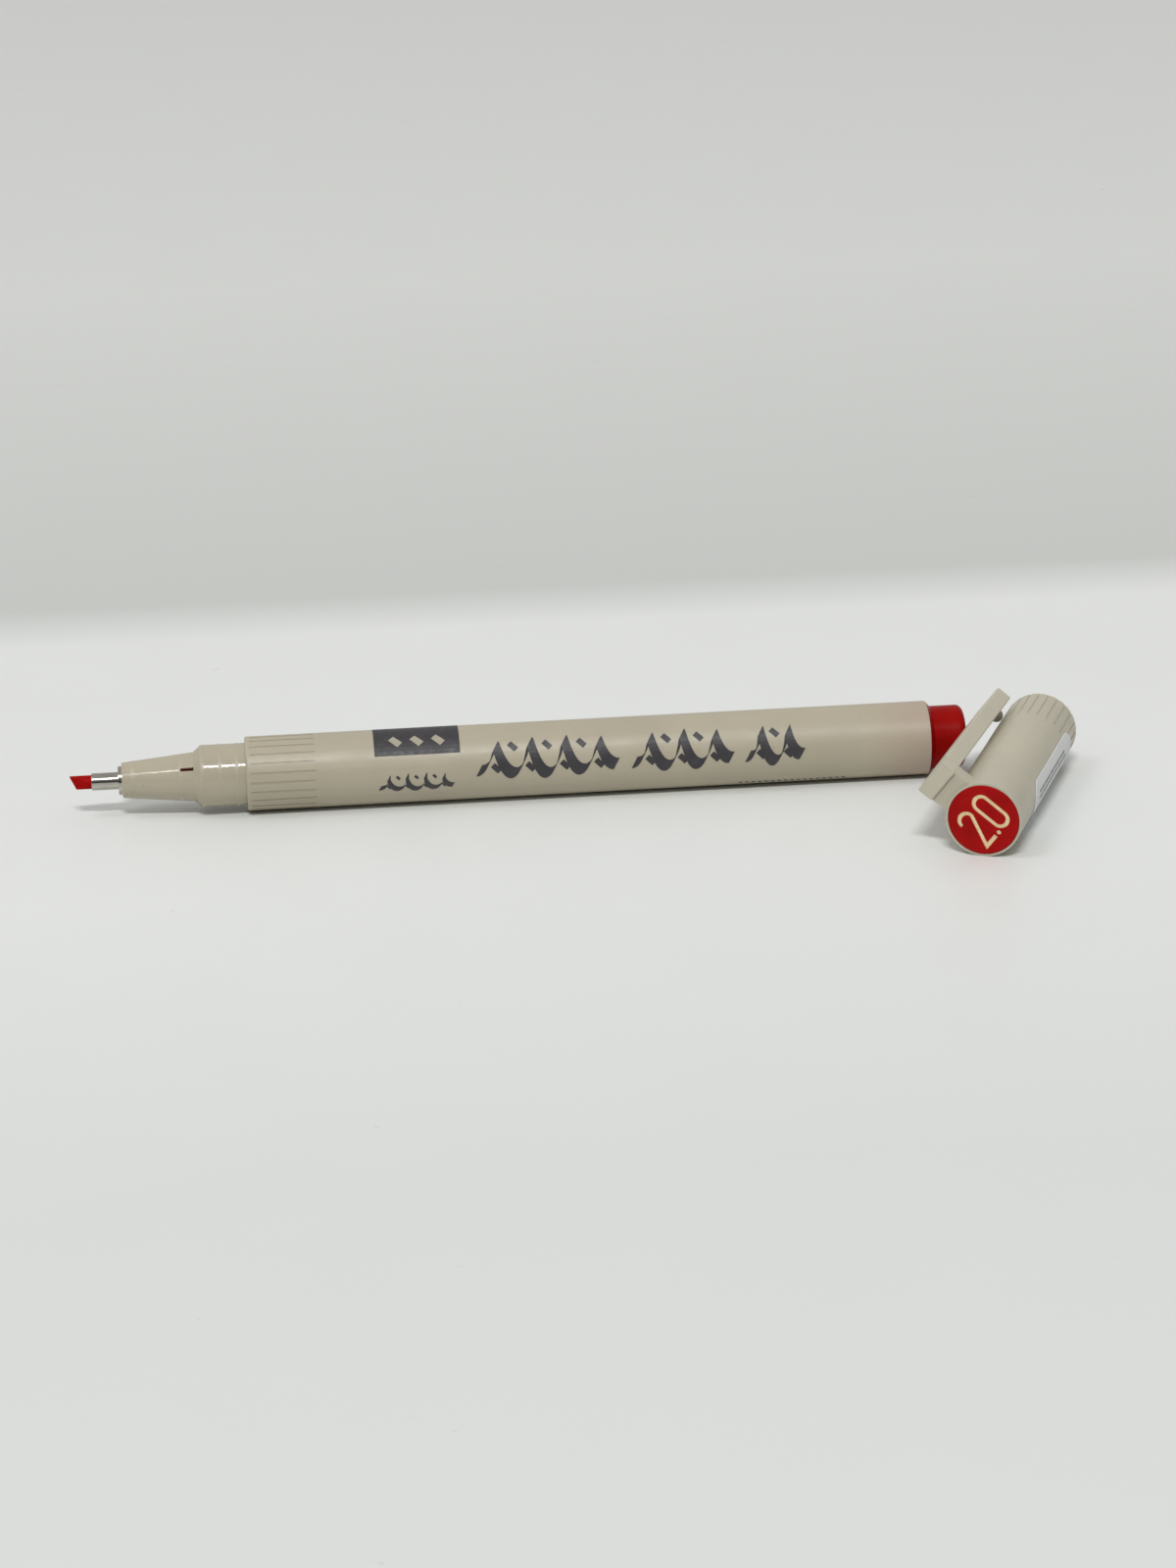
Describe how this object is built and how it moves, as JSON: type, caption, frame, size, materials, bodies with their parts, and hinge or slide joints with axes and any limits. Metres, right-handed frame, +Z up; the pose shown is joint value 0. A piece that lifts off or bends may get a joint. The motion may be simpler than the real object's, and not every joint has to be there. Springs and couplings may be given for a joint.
{
  "type": "calligraphy marker",
  "caption": "Slim chisel-tip calligraphy marker lying uncapped, with a red tail plug and its loose clip cap resting beside the tail.",
  "frame": {"origin": "middle of the whole object's footprint, on the table it lies on", "axes": "+X along the pen from the nib to the tail, +Z up from the table; the nib points along -X and the loose cap lies beside the tail on the -Y side"},
  "size_m": [0.1476, 0.043, 0.0134],
  "materials": {
    "barrel_plastic": "satin, slightly translucent, fine moulding texture",
    "section_plastic": "smooth gloss",
    "cap_plastic": "satin, slightly translucent",
    "red_plastic": "gloss, translucent at thin edges",
    "steel": "drawn, turned edge",
    "red_fibre": "ink-soaked bonded fibre",
    "ink_fibre": "ink-soaked bonded fibre",
    "clear_film": "clear wrap",
    "gold_foil": "hot-stamped foil",
    "liner_plastic": "natural polyethylene",
    "white_paper": "coated white sticker"
  },
  "bodies": {
    "pen": {"barrel": "barrel_plastic", "front_section": "section_plastic", "nib_sleeve": "steel", "chisel_nib": "red_fibre", "nib_holder": "red_plastic", "ink_reservoir": "ink_fibre", "reservoir_film": "clear_film", "tail_plug": "red_plastic"},
    "cap": {"cap_shell": "cap_plastic", "cap_end_plug": "red_plastic", "cap_mark": "gold_foil", "cap_liner": "liner_plastic", "price_label": "white_paper"},
    "clip": {"clip": "cap_plastic"}
  },
  "joints": [
    {"name": "cap_slide", "type": "slide", "parent": "pen", "child": "cap", "axis": [1, 0, 0], "range_m": [0, 0.06]},
    {"name": "clip_flex", "type": "hinge", "parent": "cap", "child": "clip", "pos_m": [0.04839, -0.01404, 0.01046], "axis": [0.5552, -0.2322, 0.7986], "range_deg": [0, 2.5], "stiffness_Nm_per_rad": 1.5}
  ]
}
